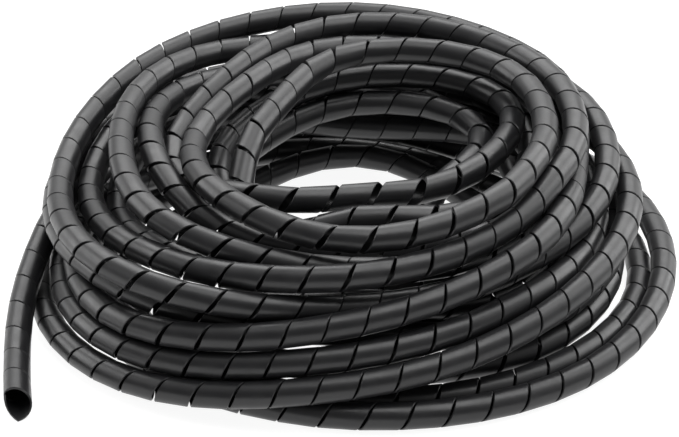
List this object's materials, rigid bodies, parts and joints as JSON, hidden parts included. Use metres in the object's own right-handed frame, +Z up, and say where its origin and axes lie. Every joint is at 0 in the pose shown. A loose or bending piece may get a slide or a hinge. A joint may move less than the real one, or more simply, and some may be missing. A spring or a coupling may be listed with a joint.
{
  "type": "spiral cable wrap coil",
  "caption": "Loose coil of black plastic spiral cable wrap, a thin-walled tube slit by a helical cut, wound by hand in overlapping turns with one end lying free.",
  "frame": {"origin": "on the floor, under the middle of the coil's box with its free end", "axes": "+Z up through the coil's opening, +X towards the side opposite the free end, the free end pointing to -Y"},
  "size_m": [0.2574, 0.2394, 0.0745],
  "materials": {
    "black_polyethylene": "black polyethylene with a soft sheen, slightly waxy"
  },
  "bodies": {
    "root": {"spiral_wrap": "black_polyethylene"}
  },
  "joints": []
}
